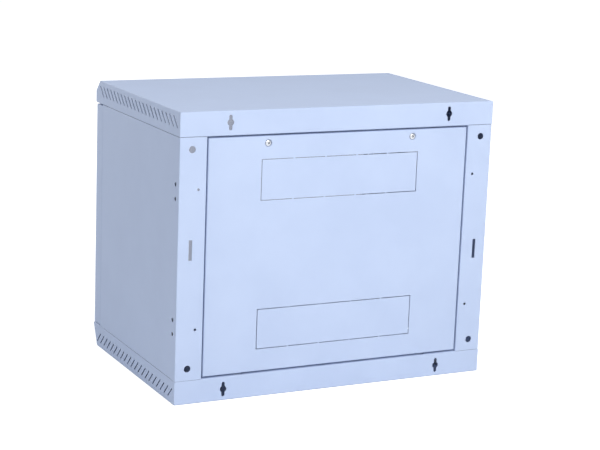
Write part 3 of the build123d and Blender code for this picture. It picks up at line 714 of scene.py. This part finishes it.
low = SPRING_LOW + WIRE_RADIUS
rise = SPRING_HIGH - SPRING_LOW - 2 * WIRE_RADIUS
closed_rise = 2 * WIRE_RADIUS
coil_points = []
for step in range(COILS * STEPS + 1):
    turns = step / STEPS
    if turns < 1:
        height = closed_rise * turns
    elif turns > COILS - 1:
        height = rise - closed_rise * (COILS - turns)
    else:
        height = closed_rise + (rise - 2 * closed_rise) * (turns - 1) / (COILS - 2)
    angle = 2 * math.pi * turns
    x = HINGE_X + SPRING_RADIUS * math.cos(angle)
    y = HINGE_Y + SPRING_RADIUS * math.sin(angle)
    coil_points.append((x, y, low + height))
spring = finished_piece(
    "hinge_spring_coil", wire("hinge_spring_coil", coil_points, [WIRE_RADIUS] * len(coil_points), 3),
    "spring_steel", "door", ["hinge_spring"],
)
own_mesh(spring)

PIN_TOP = 465.0
HANDLE_Z = 391.0
HANDLE_END = -275.0
BEND = 5.0
BEND_STEPS = 8
PIN_RADIUS = 3.0
HANDLE_RADIUS = 2.5
PIN_CHAMFER = 0.8

pin_points = [(HINGE_X, HINGE_Y, z) for z in (PIN_TOP, PIN_TOP - PIN_CHAMFER, HANDLE_Z + BEND)]
pin_radii = [2.3, PIN_RADIUS, PIN_RADIUS]
for step in range(1, BEND_STEPS + 1):
    angle = math.pi / 2 * step / BEND_STEPS
    x = HINGE_X + BEND - BEND * math.cos(angle)
    z = HANDLE_Z + BEND - BEND * math.sin(angle)
    pin_points.append((x, HINGE_Y, z))
    pin_radii.append(PIN_RADIUS - (PIN_RADIUS - HANDLE_RADIUS) * step / BEND_STEPS)
pin_points += [(HANDLE_END - PIN_CHAMFER, HINGE_Y, HANDLE_Z), (HANDLE_END, HINGE_Y, HANDLE_Z)]
pin_radii += [HANDLE_RADIUS, 1.8]
collar = turned(
    "pin_collar",
    [(PIN_RADIUS, 0), (4.2, 0), (4.6, 0.4), (4.6, 2.6), (4.2, 3.0), (PIN_RADIUS, 3.0)],
)
collar = stood(collar, (HINGE_X, HINGE_Y, SPRING_HIGH), (0, 0, 1))
finished_piece(
    "hinge_pin_bent", joined("hinge_pin_bent", [wire("pin_rod", pin_points, pin_radii, 8), collar]),
    "bright_zinc", "upper_pin", ["hinge_pin_upper"],
)

# %% [markdown]
# ## Lower pivot
#
# The door's weight rests on a shouldered pin that is riveted into the lip of the tray. Seen from below, the
# rivet has a low dome, and the pin has a small chamfer so that the door finds it.

# %% Turn the lower pivot
TRAY_LIP = 42.0  # height of the lip that the pivot is riveted into

pivot_profile = [
    (0, -2.7), (2.0, -2.6), (3.6, -2.2), (4.4, -1.5), (4.5, -1.2), (PIN_RADIUS, -1.2), (PIN_RADIUS, 0),
    (5.8, 0), (6.0, 0.2), (6.0, 1.0), (5.8, 1.2), (PIN_RADIUS, 1.2), (PIN_RADIUS, 10.7), (2.4, 11.5),
    (0, 11.5),
]
pivot = stood(turned("lower_pivot", pivot_profile), (HINGE_X, HINGE_Y, TRAY_LIP), (0, 0, 1))
finished_piece("hinge_pivot_turned", pivot, "bright_zinc", "cabinet", ["hinge_pivot_lower"])

# %% [markdown]
# ## Body of the lock
#
# The lock passes through the door's stile: a bevelled bezel in front, a threaded barrel behind, and the
# turning core inside, which stays as the solid made it, with its keyway. The barrel's thread can't be seen
# with the door shut, so plain rings stand for it.

# %% Turn the lock's body
LOCK_X = 278.0
LOCK_Z = 250.0
LOCK_FRONT = -200.0
BARREL_BACK = -36.4
BARREL_RADIUS = 8.0
RING_FOOT = 7.6
CORE_BORE = 5.55
BEZEL_RADIUS = 11.0

lock_profile = [(CORE_BORE, BARREL_BACK), (RING_FOOT, BARREL_BACK), (BARREL_RADIUS, BARREL_BACK + 0.5)]
for ring in steps_between(BARREL_BACK + 1.0, -7.0, 28):
    lock_profile += [(BARREL_RADIUS, ring), (RING_FOOT, ring + 0.5)]
lock_profile += [
    (BARREL_RADIUS, -6.0), (BARREL_RADIUS, -1.5), (10.9, -1.5), (BEZEL_RADIUS, -1.3),
    (BEZEL_RADIUS, -0.8), (10.7, -0.35), (10.1, -0.05), (9.4, 0), (6.6, 0), (6.2, -0.12),
    (5.9, -0.4), (CORE_BORE, -0.5),
]
lock_shell = stood(turned("lock_shell", lock_profile, 72), (LOCK_X, LOCK_FRONT, LOCK_Z), (0, -1, 0))
finished_piece("lock_shell_turned", lock_shell, "lock_metal", "door", ["lock_body"])

# %% [markdown]
# ## Bolts and nuts of the rails
#
# Four hexagon bolts clamp the equipment rails to the slotted depth rails. A head is the smaller of a
# hexagon and a flat cone at every angle, which gives the curved chamfer of a real one. The thread is a wave
# that climbs one pitch in each turn.

# %% Cut the bolts and nuts
BOLT_Y = -103.1
BOLT_HEIGHTS = (134.25, 365.75)
BOLT_SEAT = 260.5
NUT_SEAT = 257.0
THREAD_RADIUS = 3.0
PITCH = 1.0
THREAD_DEPTH = 0.3
FLATS = 10  # width of heads and nuts over two flats
BOLT_HEAD = 4.0
BOLT_LENGTH = 11.5
NUT_HEIGHT = 5.0
CORNER_SLOPE = 1.7  # how fast the cone that cuts the corners widens
TIP_RADIUS = 2.2
TIP_SLOPE = 1.2
HEXAGON_SIDES = 72
THREAD_SIDES = 32


def thread(height, angle):
    """The flank of a thread: a triangular wave, one pitch higher in each turn."""
    wave = (height / PITCH - angle / (2 * math.pi)) % 1
    return THREAD_RADIUS - THREAD_DEPTH * (1 - abs(2 * wave - 1))


def hexagon_and_cone(angle, depth):
    """The smaller of a hexagon and a cone, at a depth below the chamfered face."""
    return min(hexagon_reach(FLATS, angle), FLATS / 2 + 0.1 + CORNER_SLOPE * depth)


def bolt_mesh():
    """Head above the seat, threaded shank below it."""
    def head_reach(height, angle):
        return hexagon_and_cone(angle, BOLT_HEAD - height)

    def shank_reach(height, angle):
        return min(thread(height, angle), TIP_RADIUS + (height + BOLT_LENGTH) * TIP_SLOPE)

    head = wrapped("head", steps_between(0, BOLT_HEAD, 8), head_reach, HEXAGON_SIDES)
    shank = wrapped("shank", steps_between(-BOLT_LENGTH, 0, 80), shank_reach, THREAD_SIDES)
    return joined("bolt", [head, shank])


def nut_mesh():
    """A hexagon nut, chamfered on both faces. Its bore is filled by the shank."""
    def reach(height, angle):
        return hexagon_and_cone(angle, min(height, NUT_HEIGHT - height))

    return wrapped("nut", steps_between(0, NUT_HEIGHT, 10), reach, HEXAGON_SIDES)


bolts, nuts = [], []
for side in (1, -1):
    for z in BOLT_HEIGHTS:
        bolts.append(stood(bolt_mesh(), (side * BOLT_SEAT, BOLT_Y, z), (side, 0, 0)))
        nuts.append(stood(nut_mesh(), (side * NUT_SEAT, BOLT_Y, z), (-side, 0, 0)))
finished_piece(
    "rail_bolts_threaded", joined("rail_bolts_threaded", bolts), "bright_zinc", "cabinet", ["rail_bolts"],
)
finished_piece(
    "rail_nuts_chamfered", joined("rail_nuts_chamfered", nuts), "bright_zinc", "cabinet", ["rail_nuts"],
)

# %% [markdown]
# ## Earth stud
#
# A threaded stud is welded to the floor of the tray, with one nut, for the wire that grounds the cabinet.

# %% Cut the earth stud and its nut
EARTH_AT = (-250.0, 140.0, 1.2)
STUD_LENGTH = 18.0


def stud_reach(height, angle):
    """A thread that tapers at its upper end."""
    return min(thread(height, angle), TIP_RADIUS + (STUD_LENGTH - height) * TIP_SLOPE)


stud = wrapped("stud", steps_between(0, STUD_LENGTH, 126), stud_reach, THREAD_SIDES)
stud = stood(stud, EARTH_AT, (0, 0, 1))
nut = stood(nut_mesh(), EARTH_AT, (0, 0, 1))
finished_piece("earth_stud_threaded", stud, "bright_zinc", "cabinet", ["earth_stud"])
finished_piece("earth_nut_chamfered", nut, "bright_zinc", "cabinet", ["earth_nut"])

# %% [markdown]
# ## Rubber pads
#
# The pads on the jamb are moulded with rounded corners and a low crown. A grid that is pushed out along a
# soft curve gives both at once.

# %% Mould the pads
PAD_X = 294.0
PAD_HEIGHTS = (80.0, 420.0)
PAD_WIDTH = 8.0
PAD_LENGTH = 30.0
PAD_BACK = -165.6
PAD_THICK = 1.1
PAD_CROWN = 0.16  # share of its width that a pad loses from its foot to its top
CORNER_POWER = 6.0  # 2 would give an ellipse, more gives squarer corners


def pad_mesh():
    """A slab with round corners that narrows towards its top."""
    def reach(height, angle):
        share = 1 - PAD_CROWN * (height / PAD_THICK) ** 3
        half_x = PAD_WIDTH / 2 * share
        half_y = PAD_LENGTH / 2 - PAD_WIDTH / 2 * (1 - share)
        wide = abs(math.cos(angle) / half_x) ** CORNER_POWER
        long = abs(math.sin(angle) / half_y) ** CORNER_POWER
        return (wide + long) ** (-1 / CORNER_POWER)

    return wrapped("pad", steps_between(0, PAD_THICK, 8), reach, 96)


pads = []
for z in PAD_HEIGHTS:
    pad = pad_mesh()
    pad.transform(Matrix.Rotation(math.pi / 2, 4, "X"))
    pad.transform(Matrix.Translation(Vector((PAD_X, PAD_BACK, z)) * MM))
    pads.append(pad)
finished_piece("door_pads_moulded", joined("door_pads_moulded", pads), "rubber", "cabinet", ["door_bumpers"])
